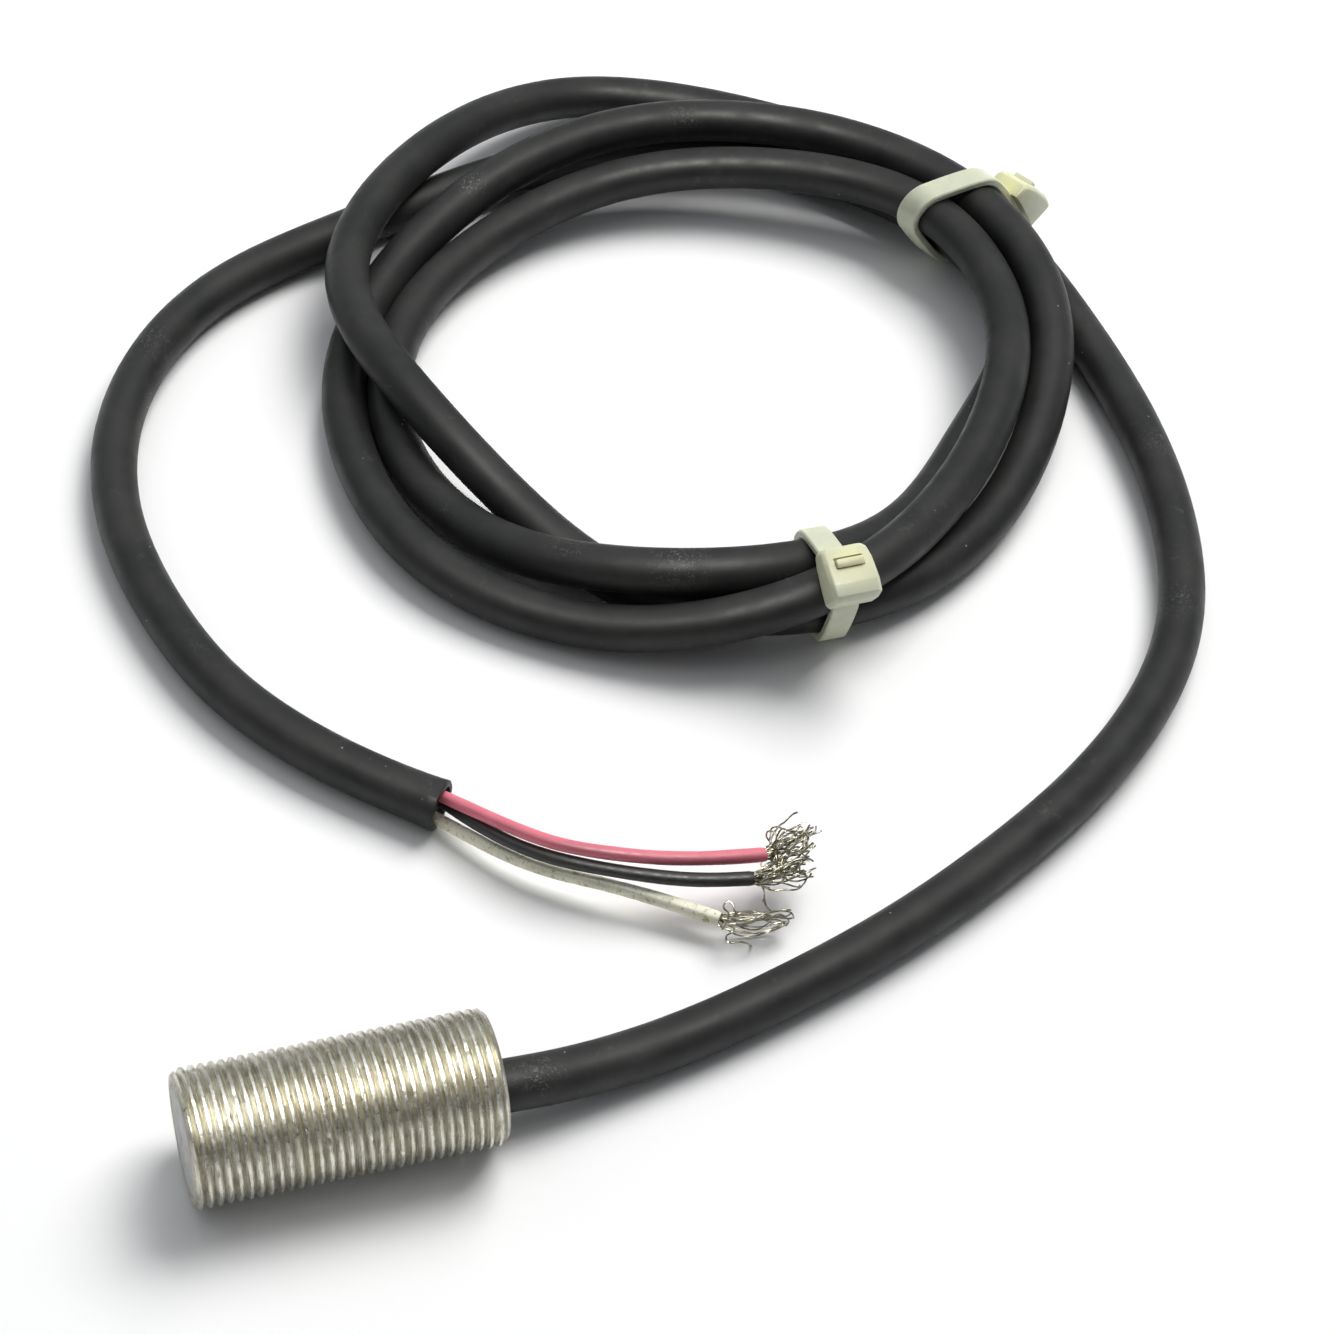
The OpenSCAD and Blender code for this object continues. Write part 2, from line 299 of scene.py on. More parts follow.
def lathe(profile, axis_z, sides):
    """A closed solid turned about the barrel's axis from (x, radius) points; radius 0 is the axis."""
    a = np.arange(sides) * 2 * math.pi / sides
    verts, rings = [], []
    for x, r in profile:
        if r == 0:
            rings.append([len(verts)])
            verts.append((x, 0, axis_z))
        else:
            rings.append(list(range(len(verts), len(verts) + sides)))
            verts += [(x, r * math.cos(t), axis_z + r * math.sin(t)) for t in a]
    faces = []
    for one, two in zip(rings, rings[1:]):
        for k in range(sides):
            n = (k + 1) % sides
            face = [one[k % len(one)], one[n % len(one)], two[n % len(two)], two[k % len(two)]]
            faces.append(tuple(dict.fromkeys(face)))
    return verts, [f for f in faces if len(f) > 2]


# ---- Materials ----

class Look:
    """A node material. Textures are sized in millimetres."""

    def __init__(self, name, color, roughness, **sockets):
        self.material = bpy.data.materials.new(name)
        self.material.use_nodes = True
        self.tree = self.material.node_tree
        self.shader = self.tree.nodes["Principled BSDF"]
        self.set("Base Color", (*color, 1))
        self.set("Roughness", roughness)
        for key, value in sockets.items():
            self.set(key.replace("_", " "), value)
        scale = self.node("VectorMath", (self.node("TexCoord").outputs["Object"],), "SCALE")
        scale.inputs["Scale"].default_value = 1 / MM
        self.place = scale.outputs[0]

    def set(self, socket, value):
        self.shader.inputs[socket].default_value = value

    def link(self, value, socket):
        self.tree.links.new(value, self.shader.inputs[socket])

    def put(self, value, socket):
        """Links a node's output to a socket, or sets a plain value on it."""
        if isinstance(value, bpy.types.NodeSocket):
            self.tree.links.new(value, socket)
        else:
            socket.default_value = value

    def node(self, kind, values=(), operation=None):
        """A new node with values on its first sockets."""
        node = self.tree.nodes.new("ShaderNode" + kind)
        if operation:
            node.operation = operation
        for value, socket in zip(values, node.inputs):
            self.put(value, socket)
        return node

    def noise(self, size, detail=3, rough=0.5, stretch=None, distortion=0):
        """Noise with features of about that size. stretch scales the place along each axis."""
        node = self.node("TexNoise")
        node.inputs["Scale"].default_value = 1 / size
        node.inputs["Detail"].default_value = detail
        node.inputs["Roughness"].default_value = rough
        node.inputs["Distortion"].default_value = distortion
        place = self.place
        if stretch:
            place = self.node("VectorMath", (place, stretch), "MULTIPLY").outputs[0]
        self.put(place, node.inputs["Vector"])
        return node.outputs["Fac"]

    def cells(self, size):
        """Distance from scattered points that are about size apart, in units of size."""
        node = self.node("TexVoronoi", (self.place,))
        node.inputs["Scale"].default_value = 1 / size
        return node.outputs["Distance"]

    def math(self, operation, *values):
        return self.node("Math", values, operation).outputs[0]

    def times(self, one, two):
        return self.math("MULTIPLY", one, two)

    def between(self, value, low, high, to_low=0.0, to_high=1.0):
        """Maps low..high to to_low..to_high, smoothly and clamped."""
        node = self.node("MapRange", (value, low, high, to_low, to_high))
        node.interpolation_type = "SMOOTHSTEP"
        return node.outputs[0]

    def mix(self, factor, one, two):
        """A colour between one and two."""
        node = self.node("Mix")
        node.data_type = "RGBA"
        sockets = [s for s in node.inputs if s.enabled]
        for value, socket in zip((factor, one, two), sockets):
            if isinstance(value, tuple):
                value = (*value, 1)
            self.put(value, socket)
        return next(s for s in node.outputs if s.enabled)

    def bump(self, height, distance, strength=1.0, normal=None):
        """A bump whose height of 1 is distance millimetres, on top of another normal if given."""
        node = self.node("Bump")
        node.inputs["Strength"].default_value = strength
        node.inputs["Distance"].default_value = distance * MM
        self.put(height, node.inputs["Height"])
        if normal is not None:
            self.put(normal, node.inputs["Normal"])
        return node.outputs[0]

    def spot(self, centre, reach):
        """1 at a point, and 0 from reach outward."""
        node = self.node("VectorMath", (self.place, centre), "DISTANCE")
        return self.between(node.outputs["Value"], 0, reach, 1, 0)

    def axis_radius(self, axis_z):
        """Distance from the barrel's axis."""
        split = self.node("SeparateXYZ", (self.place,))
        up = self.math("SUBTRACT", split.outputs[2], axis_z)
        across = split.outputs[1]
        return self.math("SQRT", self.math("ADD", self.times(across, across), self.times(up, up)))


barrel_low, barrel_high = box_mm("barrel")
AXIS_Z = (barrel_low[2] + barrel_high[2]) / 2
BARREL_R = (barrel_high[2] - barrel_low[2]) / 2
THREAD_PITCH = 1.0
THREAD_DEPTH = 0.54
CREST_BAND = 0.12        # depth below the crest where the bright worn metal begins; deeper, the roots are painted darker as shade


def nickel_look():
    """Worn nickel plating: bright worn crests, roots painted darker as shade, tool marks, stains and pits.
    """
    look = Look("worn nickel", (0.62, 0.61, 0.53), 0.3, Metallic=1.0)
    crest = look.between(look.axis_radius(AXIS_Z), BARREL_R - THREAD_DEPTH, BARREL_R - CREST_BAND)
    tone = look.mix(look.between(look.noise(3.5, 4, 0.6), 0.35, 0.68),
                    (0.82, 0.81, 0.74), (0.68, 0.66, 0.56))
    haze = look.between(look.noise(1.2, 5, 0.65), 0.48, 0.7)
    tone = look.mix(look.times(haze, 0.5), tone, (0.5, 0.48, 0.41))
    # Painted shade: the thread's roots get a darker colour than the crests
    root = look.mix(look.noise(0.8, 4, 0.6), (0.28, 0.27, 0.22), (0.5, 0.48, 0.41))
    metal = look.mix(look.between(crest, 0.0, 0.6, 0.35, 1), root, tone)
    # Tool marks that run round the barrel, and stains on the side away from the camera
    turned = look.noise(0.2, 3, 0.6, stretch=(1, 0.1, 0.1))
    metal = look.mix(look.between(turned, 0.48, 0.62, 0, 0.6), metal, (0.27, 0.25, 0.2))
    speckle = look.between(look.noise(0.28, 4, 0.7), 0.5, 0.7, 0, 0.35)
    metal = look.mix(speckle, metal, (0.33, 0.31, 0.26))
    stain = look.between(look.noise(2.2, 5, 0.7, distortion=0.8), 0.5, 0.66)
    stain = look.times(stain, look.spot((4, 6, 12), 17))
    metal = look.mix(look.times(stain, 0.65), metal, (0.3, 0.21, 0.13))
    grime = look.between(look.noise(0.55, 5, 0.7, distortion=0.6), 0.6, 0.7)
    grime = look.times(grime, look.between(look.noise(4.5, 2), 0.46, 0.62))
    metal = look.mix(look.times(grime, 0.75), metal, (0.12, 0.1, 0.07))
    pits = look.between(look.cells(1.5), 0.05, 0.13, 1, 0)
    pits = look.times(pits, look.between(look.noise(2.5, 2), 0.52, 0.6))
    metal = look.mix(look.times(pits, 0.85), metal, (0.05, 0.045, 0.035))
    look.link(metal, "Base Color")
    dull = look.math("MAXIMUM", grime, pits)
    rough = look.between(look.noise(0.35, 4, 0.7), 0.3, 0.75, 0.25, 0.42)
    rough = look.math("ADD", rough, look.between(crest, 0, 0.7, 0.12, 0))
    look.link(look.math("ADD", rough, look.times(dull, 0.3)), "Roughness")
    look.link(look.between(dull, 0, 1, 1, 0.55), "Metallic")
    fine = look.bump(look.noise(0.14, 3, 0.6), 0.025)
    fine = look.bump(look.noise(0.5, 4, 0.7), 0.025, normal=fine)
    fine = look.bump(turned, 0.06, normal=fine)
    look.link(look.bump(look.math("SUBTRACT", 1, dull), 0.03, normal=fine), "Normal")
    return look.material


def jacket_look():
    """Black cable jacket: extruded, dusty and scuffed."""
    look = Look("cable jacket", (0.02, 0.0215, 0.02), 0.5, Specular_IOR_Level=0.3)
    tone = look.mix(look.between(look.noise(9, 4, 0.6), 0.35, 0.7),
                    (0.016, 0.0175, 0.0165), (0.027, 0.0285, 0.0265))
    dust = look.between(look.noise(1.6, 6, 0.7, distortion=0.4), 0.55, 0.78)
    dust = look.times(dust, look.between(look.noise(14, 2), 0.42, 0.62))
    tone = look.mix(look.times(dust, 0.35), tone, (0.11, 0.11, 0.105))
    specks = look.between(look.cells(2.2), 0.035, 0.07, 1, 0)
    specks = look.times(specks, look.between(look.noise(7, 2), 0.55, 0.6))
    tone = look.mix(look.times(specks, 0.6), tone, (0.4, 0.4, 0.38))
    scuffs = 0.0
    streak = look.between(look.noise(0.45, 4, 0.75, distortion=1.2), 0.52, 0.66)
    for centre, reach, amount in SCUFFS:
        here = look.times(look.spot(centre, reach), amount)
        scuffs = look.math("MAXIMUM", scuffs, here)
    scuffs = look.times(scuffs, streak)
    tone = look.mix(scuffs, tone, (0.3, 0.3, 0.29))
    look.link(tone, "Base Color")
    rough = look.between(look.noise(5, 4, 0.6), 0.3, 0.7, 0.42, 0.58)
    look.link(look.math("ADD", rough, look.times(scuffs, 0.2)), "Roughness")
    grain = look.bump(look.noise(0.16, 3, 0.6), 0.012, 0.8)
    wave = look.bump(look.noise(3.2, 3, 0.5), 0.05, 0.7, normal=grain)
    look.link(wave, "Normal")
    return look.material


# Where the jacket is scuffed: a point on it, how far the mark reaches, how strong it is
SCUFFS = [
    ((54.3, 62, 10.5), 5, 0.5), ((66.4, 56.2, 8.5), 3.5, 0.9), ((42.7, 69.6, 11.5), 5, 0.45),
    ((49.4, 136.4, 10), 3, 0.8), ((79.7, 141.8, 11.5), 3, 0.6), ((20.2, -1.1, 7.5), 4, 0.5),
    ((47, 12, 5), 3, 0.4), ((120.8, 74, 5.5), 4, 0.4), ((110.9, 47.8, 5.5), 4, 0.35),
    ((4, 120, 5), 5, 0.25),
]


# Middle of each tie's head, where the nylon is thick and looks yellower
HEADS = [(COIL_CENTRE[0] + radius * math.cos(math.radians(tie)),
          COIL_CENTRE[1] + radius * math.sin(math.radians(tie)), height)
         for tie, radius, height in ((TOP_TIE - 2, 52, 9), (FRONT_TIE, 46.5, 14))]


def nylon_look():
    """Undyed nylon: lets a little light through, and is yellower where it is thick."""
    look = Look("natural nylon", (0.62, 0.64, 0.5), 0.38, Subsurface_Weight=0.3,
                Subsurface_Radius=(0.9, 0.8, 0.5), Subsurface_Scale=MM, Specular_IOR_Level=0.5)
    tone = look.mix(look.between(look.noise(2.2, 4, 0.55), 0.35, 0.7),
                    (0.58, 0.61, 0.48), (0.64, 0.66, 0.5))
    for centre in HEADS:
        tone = look.mix(look.spot(centre, 5), tone, (0.76, 0.74, 0.42))
    grime = look.between(look.noise(0.6, 5, 0.7), 0.6, 0.75)
    tone = look.mix(look.times(grime, 0.35), tone, (0.5, 0.46, 0.34))
    look.link(tone, "Base Color")
    look.link(look.between(look.noise(0.7, 4, 0.6), 0.3, 0.7, 0.3, 0.5), "Roughness")
    look.link(look.bump(look.noise(0.3, 3, 0.6), 0.02), "Normal")
    return look.material


def core_look(name, clean, dirty, dirt_from):
    """Insulation of one core, with dirt where the noise is above dirt_from."""
    look = Look(name, clean, 0.42, Specular_IOR_Level=0.5)
    tone = look.mix(look.between(look.noise(4, 3), 0.35, 0.7), clean, tuple(c * 0.86 for c in clean))
    dirt = look.between(look.noise(0.7, 6, 0.75, distortion=0.5), dirt_from, dirt_from + 0.14)
    look.link(look.mix(dirt, tone, dirty), "Base Color")
    look.link(look.between(look.noise(0.8, 4), 0.3, 0.7, 0.36, 0.55), "Roughness")
    look.link(look.bump(look.noise(0.35, 4, 0.6), 0.03), "Normal")
    return look.material


def strand_look():
    """Bare wire in bright and tarnished patches; the dark patches are also painted shade between the
    strands, and the bright ones painted glints.
    """
    look = Look("tinned strands", (0.4, 0.39, 0.32), 0.3, Metallic=1.0)
    # Partly tarnish, partly painted light: dark tone as shade between strands, bright tone as glints
    tone = look.mix(look.between(look.noise(0.6, 4, 0.6), 0.35, 0.7),
                    (0.52, 0.5, 0.4), (0.11, 0.1, 0.07))
    look.link(tone, "Base Color")
    look.link(look.between(look.noise(0.3, 3), 0.3, 0.7, 0.28, 0.5), "Roughness")
    look.link(look.bump(look.noise(0.08, 2), 0.008), "Normal")
    return look.material


def plain_look(name, color, other, roughness, grain=0.25, metallic=0, depth=0.01, size=2):
    """A moulded, cast or drawn surface: two close tones, uneven gloss and a fine grain."""
    look = Look(name, color, roughness, Metallic=metallic)
    look.link(look.mix(look.between(look.noise(size, 4, 0.6), 0.35, 0.7), color, other), "Base Color")
    gloss = look.between(look.noise(size / 3, 4, 0.6), 0.3, 0.7, roughness - 0.06, roughness + 0.08)
    look.link(gloss, "Roughness")
    look.link(look.bump(look.noise(grain, 3, 0.6), depth), "Normal")
    return look.material


WINDING_PITCH = 0.12


def winding_look():
    """Enamelled copper wire, wound round the barrel's axis in even turns; its colour is painted darker in
    the grooves between turns as shade and lighter on their tops as highlight.
    """
    look = Look("winding copper", (0.5, 0.2, 0.08), 0.3, Metallic=0.9)
    split = look.node("SeparateXYZ", (look.place,))
    turn = look.math("SINE", look.times(split.outputs[0], 2 * math.pi / WINDING_PITCH))
    # Painted shade and highlight: dark in the grooves between turns, light on each turn's top
    look.link(look.mix(look.between(turn, -1, 1), (0.22, 0.08, 0.03), (0.6, 0.26, 0.1)), "Base Color")
    look.link(look.bump(turn, 0.03), "Normal")
    return look.material


# One material for each slot of the record
LOOKS = {
    "nickel_brass": nickel_look(),
    "cable_jacket": jacket_look(),
    "nylon_natural": nylon_look(),
    "wire_red": core_look("red core", (0.76, 0.19, 0.25), (0.5, 0.1, 0.14), 0.6),
    "wire_black": core_look("black core", (0.028, 0.027, 0.027), (0.09, 0.08, 0.07), 0.6),
    "wire_white": core_look("white core", (0.92, 0.9, 0.72), (0.38, 0.37, 0.15), 0.52),
    "tinned_strands": strand_look(),
    "winding_copper": winding_look(),
}
# Two tones and the roughness; then, where they aren't the usual ones, the size of the grain, whether
# it is metal, the depth of the grain and the size of the patches
PLAIN = {
    "cap_plastic": ((0.5, 0.5, 0.49), (0.34, 0.34, 0.33), 0.5, 0.2, 0, 0.03, 1.2),
    "bush_plastic": ((0.022, 0.022, 0.022), (0.035, 0.034, 0.032), 0.45, 0.3),
    "ferrite": ((0.045, 0.045, 0.05), (0.075, 0.07, 0.07), 0.6, 0.12, 0, 0.02),
    "bobbin_plastic": ((0.75, 0.7, 0.55), (0.68, 0.62, 0.46), 0.45),
    "shield_copper": ((0.72, 0.36, 0.2), (0.5, 0.24, 0.12), 0.34, 0.25, 1),
    "board_laminate": ((0.02, 0.16, 0.06), (0.03, 0.2, 0.09), 0.35, 0.15),
    "chip_plastic": ((0.02, 0.02, 0.022), (0.03, 0.03, 0.03), 0.55, 0.08),
    "diode_glass": ((0.45, 0.1, 0.04), (0.36, 0.08, 0.03), 0.15),
    "capacitor_ceramic": ((0.42, 0.29, 0.16), (0.36, 0.24, 0.13), 0.5, 0.1),
    "resistor_ceramic": ((0.03, 0.03, 0.035), (0.05, 0.05, 0.05), 0.3, 0.1),
    "solder": ((0.62, 0.62, 0.6), (0.5, 0.5, 0.48), 0.25, 0.25, 1),
    "potting_resin": ((0.02, 0.024, 0.024), (0.03, 0.035, 0.034), 0.2),
}
for slot, values in PLAIN.items():
    LOOKS[slot] = plain_look(slot, *values)

for entry in frame["record"]["subparts"]:
    node = frame["nodes"][entry["node"]]
    node.data.materials.clear()
    node.data.materials.append(LOOKS[entry["material_slot"]])


# ---- Barrel ----

BORE_R = 5.7
BORE_EDGE = 0.25         # chamfer at the mouth of the bore
END_CHAMFER = 0.6
# Places across one pitch where the thread's profile has a row of points
THREAD_ROWS = (0, 0.09, 0.15, 0.22, 0.31, 0.41, 0.45, 0.5, 0.55, 0.59, 0.69, 0.78, 0.85, 0.91)
THREAD_COLUMNS = 144     # points round the barrel
SPARE_TURNS = 2          # turns made past each end, and then cut off there
CREST_HALF = 0.15        # half the crest's flat, in pitches
CREST_FALL = 0.02        # how much the flat is rounded off at its edges
ROOT_FROM = 0.41         # where the flank ends and the round root begins, in pitches
CREST_WEAR = 0.045       # the most that a turn's crest is worn away
WORN_TURNS = 60
DENTS = 90
DENT_DEPTH = (0.05, 0.17)
DENT_REACH = (0.15, 0.4)


def thread_depth(phase):
    """Depth below the crest at a place across one pitch of a 60 degree thread."""
    x = min(phase, 1 - phase)
    flank = (ROOT_FROM - CREST_HALF) * math.sqrt(3)
    if x <= CREST_HALF:
        return CREST_FALL * (x / CREST_HALF) ** 2
    if x <= ROOT_FROM:
        return CREST_FALL + (flank - CREST_FALL) * (x - CREST_HALF) / (ROOT_FROM - CREST_HALF)
    turn = (x - ROOT_FROM) / (0.5 - ROOT_FROM)
    return flank + (THREAD_DEPTH - flank) * math.sin(turn * math.pi / 2)


def thread_points():
    """Rows of points along the helix, dented and worn."""
    rng = random.Random(7)
    dents = [(rng.uniform(barrel_low[0], barrel_high[0]), rng.uniform(-math.pi, math.pi),
              rng.uniform(*DENT_DEPTH), rng.uniform(*DENT_REACH)) for _ in range(DENTS)]
    wear = [(rng.uniform(0, CREST_WEAR), rng.uniform(0, 6.28), rng.randint(1, 5))
            for _ in range(WORN_TURNS)]
    turns = int(barrel_high[0] - barrel_low[0]) + 2 * SPARE_TURNS
    verts = []
    for row in range(turns * len(THREAD_ROWS)):
        turn, k = divmod(row, len(THREAD_ROWS))
        for column in range(THREAD_COLUMNS):
            a = 2 * math.pi * column / THREAD_COLUMNS
            along_helix = turn - SPARE_TURNS + THREAD_ROWS[k] + column / THREAD_COLUMNS
            x = barrel_low[0] + along_helix * THREAD_PITCH
            r = BARREL_R - thread_depth(THREAD_ROWS[k])
            worn, start, waves = wear[turn]
            r = min(r, BARREL_R - worn * (0.5 + 0.5 * math.sin(waves * a + start)))
            for at, angle, depth, reach in dents:
                if abs(x - at) < 3 * reach:
                    off = (a - angle + math.pi) % (2 * math.pi) - math.pi
                    gone = depth * math.exp(-((x - at) ** 2 + (BARREL_R * off) ** 2) / reach ** 2)
                    r = max(r - gone, min(r, BARREL_R - THREAD_DEPTH))
            from_end = min(x - barrel_low[0], barrel_high[0] - x)
            r = min(r, BARREL_R - END_CHAMFER + from_end)
            verts.append((x, r * math.cos(a), AXIS_Z + r * math.sin(a)))
    return verts


def thread_mesh():
    """The threaded surface, open and longer than the barrel at both ends."""
    verts = thread_points()
    rows = len(verts) // THREAD_COLUMNS
    faces = []
    for i in range(rows - 1):
        for k in range(THREAD_COLUMNS - 1):
            a = i * THREAD_COLUMNS + k
            faces.append((a, a + 1, a + THREAD_COLUMNS + 1, a + THREAD_COLUMNS))
    # One lead of the helix: the last column of a row meets the first column a whole turn further on
    jump = len(THREAD_ROWS)
    for i in range(rows - 1 - jump):
        a, b = i * THREAD_COLUMNS + THREAD_COLUMNS - 1, (i + jump) * THREAD_COLUMNS
        faces.append((a, b, b + THREAD_COLUMNS, a + THREAD_COLUMNS))
    mesh = bmesh.new()
    points = [mesh.verts.new(v) for v in verts]
    for face in faces:
        mesh.faces.new([points[i] for i in face])
    return mesh


def make_barrel():
    """The threaded tube: the helix cut off at both ends, and closed through the bore."""
    mesh = thread_mesh()
    ends = ((barrel_low[0], -1), (barrel_high[0], 1))
    for end, way in ends:
        bmesh.ops.bisect_plane(mesh, geom=mesh.verts[:] + mesh.edges[:] + mesh.faces[:], dist=1e-4,
                               plane_co=(end, 0, 0), plane_no=(way, 0, 0), clear_outer=True)
    # Each end's flat ring and the chamfer of the bore, and then the bore between them
    loops = []
    for end, way in ends:
        edges = [e for e in mesh.edges if e.is_boundary
                 and all(abs(v.co.x - end) < 1e-3 for v in e.verts)]
        for inset, radius in ((0, BORE_R + BORE_EDGE), (BORE_EDGE, BORE_R)):
            made = bmesh.ops.extrude_edge_only(mesh, edges=edges)["geom"]
            for v in (g for g in made if isinstance(g, bmesh.types.BMVert)):
                flat = math.hypot(v.co.y, v.co.z - AXIS_Z)
                v.co = (end - way * inset, v.co.y * radius / flat,
                        AXIS_Z + (v.co.z - AXIS_Z) * radius / flat)
            edges = [g for g in made if isinstance(g, bmesh.types.BMEdge) and g.is_boundary]
        loops += edges
    bmesh.ops.bridge_loops(mesh, edges=loops)
    bmesh.ops.dissolve_degenerate(mesh, dist=1e-4, edges=mesh.edges[:])
    return make_piece("threaded_barrel", *points_and_faces(mesh), "nickel_brass", ["barrel"], sharp=28)


make_barrel()


BORE_GAP = 0.03          # between the bore and what sits in it
BORE_SIDES = 96
CAP_WALL = 0.37
CAP_FLOOR = 1
MARK_R = 0.45            # moulding mark in the middle of the face
MARK_DEPTH = 0.1


def make_cap():
    """The sensing face: a cup with a rounded rim and a small moulding mark."""
    low, high = box_mm("sensing_cap")
    outer = (high[2] - low[2]) / 2 - BORE_GAP
    inner = outer - CAP_WALL
    floor_x = low[0] + CAP_FLOOR
    face_x = low[0] + 0.02
    profile = [(face_x + MARK_DEPTH, 0), (face_x + MARK_DEPTH, MARK_R), (face_x, MARK_R + 0.15),
               (face_x, 4.9), (face_x + 0.03, outer - 0.4), (face_x + 0.12, outer - 0.16),
               (face_x + 0.3, outer), (high[0], outer), (high[0], inner), (floor_x, inner), (floor_x, 0)]
    verts, faces = lathe(profile, AXIS_Z, BORE_SIDES)
    return make_piece("sensing_face_cap", verts, faces, "cap_plastic", ["sensing_cap"])


make_cap()


SEAL_CLIMB = 0.35        # how far the seal climbs the barrel and the cable
SEAL_RINGS = 14


def make_bush():
    """Rear seal: its outer face climbs slightly to the barrel and to the cable."""
    low, high = box_mm("rear_bush")
    outer = (high[2] - low[2]) / 2 - BORE_GAP
    cable_z = LEAD_ROUTE[0][2]
    a = np.arange(BORE_SIDES) * 2 * math.pi / BORE_SIDES
    verts = []

    def ring(x, share):
        """A ring between the barrel's bore, share 0, and the cable's hole, share 1."""
        r = outer + (CABLE_R - outer) * share
        z = AXIS_Z + (cable_z - AXIS_Z) * share
        verts.extend((x, r * math.cos(t), z + r * math.sin(t)) for t in a)

    for k in range(SEAL_RINGS + 1):
        share = k / SEAL_RINGS
        climb = SEAL_CLIMB * (math.exp(-share * 9) + math.exp(-(1 - share) * 9))
        ring(high[0] - SEAL_CLIMB + climb, share)
    ring(low[0], 1)
    ring(low[0], 0)
    faces = grid_faces(SEAL_RINGS + 3, BORE_SIDES) + closing_faces(SEAL_RINGS + 3, BORE_SIDES)
    return make_piece("rear_seal", verts, faces, "bush_plastic", ["rear_bush"])


make_bush()


# ---- Cable ----

CABLE_SIDES = 32
UNEVEN = 0.004           # how much the jacket's width varies
CUT_FLARE = 0.08         # how much wider the cut end is
FLARE_REACH = 2.5
SHEATH = 0.7             # thickness of the jacket
CUT_FACING = np.array([0.79, -0.61, -0.05])    # the cut isn't quite square


def make_cable():
    """The whole jacket as one tube, and its cut end with the hole that the cores leave."""
    path = evenly(cable_path, 1)
    s = along(path)
    rng = random.Random(3)
    waves = [(rng.uniform(20, 70), rng.uniform(0, 6.28)) for _ in range(4)]
    uneven = sum(np.sin(2 * math.pi * s / length + start) for length, start in waves) / 4
    flare = np.exp(-(s[-1] - s) / FLARE_REACH)
    radii = CABLE_R * (1 + UNEVEN * uneven + CUT_FLARE * flare)
    verts, faces = tube_mesh(path, radii, CABLE_SIDES)
    verts, faces = list(map(tuple, verts)), faces[:-1]
    # The cut end: the jacket's ring, then the filler a little way inside
    tangent, n, b = path_frames(path)
    ahead, end = tangent[-1], path[-1]
    ring = len(verts) - CABLE_SIDES

    def cut(point):
        """Moves a point along the cable onto the cut."""
        return point - ahead * ((point - end) @ CUT_FACING) / (ahead @ CUT_FACING)

    for k in range(ring, len(verts)):
        verts[k] = tuple(cut(np.array(verts[k])))
    end_r = radii[-1]
    # Radius and depth of each ring: two on the jacket's rough cut face, and two inside
    for r, depth in ((end_r - 0.12, -0.1), (end_r - SHEATH, -0.12), (end_r - SHEATH - 0.1, 0.5),
                     (0.9, 0.7)):
        first = len(verts)
        for k in range(CABLE_SIDES):
            t = 2 * math.pi * k / CABLE_SIDES
            rough = 0.05 * math.sin(5 * t + 1) if depth < 0 else 0
            point = cut(end + r * (math.cos(t) * n[-1] + math.sin(t) * b[-1]))
            verts.append(tuple(point - ahead * (depth + rough)))
        faces += [(ring + k, ring + (k + 1) % CABLE_SIDES, first + (k + 1) % CABLE_SIDES, first + k)
                  for k in range(CABLE_SIDES)]
        ring = first
    faces.append(tuple(range(ring, ring + CABLE_SIDES)))
    return make_piece("cable", verts, faces, "cable_jacket",
                      ["cable_lead", "cable_loop", "cable_coil", "cable_tail"], sharp=50)


cable = make_cable()


# ---- Cores and frayed strands ----

CORE_D = 1.5
CORE_TAPER = (0.94, 1.08)   # the insulation is stretched at the jacket and bunched up at the strands
CORE_HIDDEN = 0.7           # how far a core goes on into the jacket
CORE_SIDES = 20
STRAND_D = 0.2
STRAND_SIDES = 6
CORES = {
    "red": [(20.7, 39.9, 4), (25.5, 33.5, 5.4), (29.7, 28.7, 6.2), (34.4, 26, 6.5), (40.5, 23.8, 6.2),
            (46.4, 22.9, 5.6), (52.1, 22.6, 5)],
    "black": [(21.1, 40.2, 2.4), (25.3, 32.5, 3.8), (29.6, 28, 4.6), (34.3, 25.1, 4.9), (39.1, 22.7, 5),
              (44.2, 21, 4.7), (50, 20.2, 4.4)],
    "white": [(19.9, 39, 1.5), (22.7, 35.3, 1.9), (25.6, 31.5, 2.2), (29.6, 27.9, 2.5),
              (34.3, 24.8, 2.9), (39.8, 21, 3), (45.3, 17.1, 2.6)],
}
# Each frayed bundle: where its strands head for, how far they spread, how many there are and how
# much their direction wanders
FRAYS = {
    "red": ((57.6, 23.3, 6.5), 0.95, 34, 0.3),
    "black": ((56.3, 20.2, 4.9), 0.95, 34, 0.32),
    "white": ((52.2, 15.5, 2.4), 0.5, 16, 0.15),
}
LOOPED = 2               # strands of the white core that are curled into rings
STRAY = 0.6              # how much the direction of one strand in eight wanders
STRAND_STEP = 0.16
RING_R = 0.7             # of a curled strand
RING_LENGTH = 4.6
MEMORY = 0.84            # how much of a strand's bend carries on to its next step
PULL = 0.13              # how strongly a strand is drawn to its goal, at each step


def make_core(colour):
    """One insulated core, slightly uneven along its length."""
    path = evenly(smooth_path(CORES[colour]), 0.5)
    back = path[0] - unit(path[1] - path[0]) * CORE_HIDDEN
    path = np.vstack([back, path])
    s = along(path)
    rng = random.Random(len(colour))
    uneven = sum(np.sin(s / rng.uniform(0.5, 2.5) + rng.uniform(0, 6.28)) for _ in range(3)) / 3
    radii = CORE_D / 2 * (np.interp(s, (0, s[-1]), CORE_TAPER) + 0.025 * uneven)
    radii[-1] *= 0.9
    verts, faces = tube_mesh(path, radii, CORE_SIDES)
    return make_piece("core_" + colour, verts, faces, "wire_" + colour, ["conductor_" + colour],
                      sharp=50)


